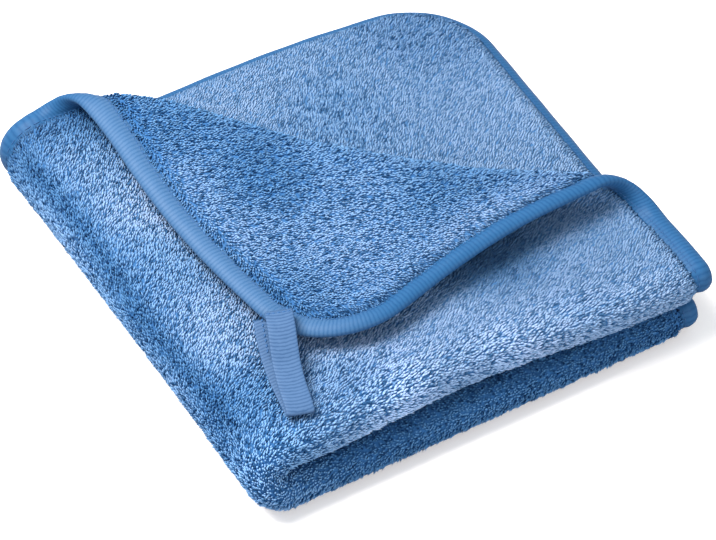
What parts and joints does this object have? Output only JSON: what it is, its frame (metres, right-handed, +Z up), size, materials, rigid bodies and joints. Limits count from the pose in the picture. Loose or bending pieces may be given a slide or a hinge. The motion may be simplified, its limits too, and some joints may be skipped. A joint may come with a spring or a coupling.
{
  "type": "microfibre cloth",
  "caption": "Plush microfibre cloth, bound all round, folded in quarters, with its free top corner turned back to show the underside and a tape hanging loop.",
  "frame": {"origin": "centre of the folded cloth's bounding box on the surface that it lies on", "axes": "+X to the right along the front folded edge, +Y away from that edge, +Z up"},
  "size_m": [0.2182, 0.2122, 0.0503],
  "materials": {
    "plush": "matt two-sided microfibre pile in soft mid blue",
    "binding_tape": "satin knitted tape with fine crosswise ribs, a deeper blue",
    "loop_tape": "satin knitted tape with fine crosswise ribs"
  },
  "bodies": {
    "root": {"cloth": "plush", "binding": "binding_tape", "hanging_loop": "loop_tape"}
  },
  "joints": []
}
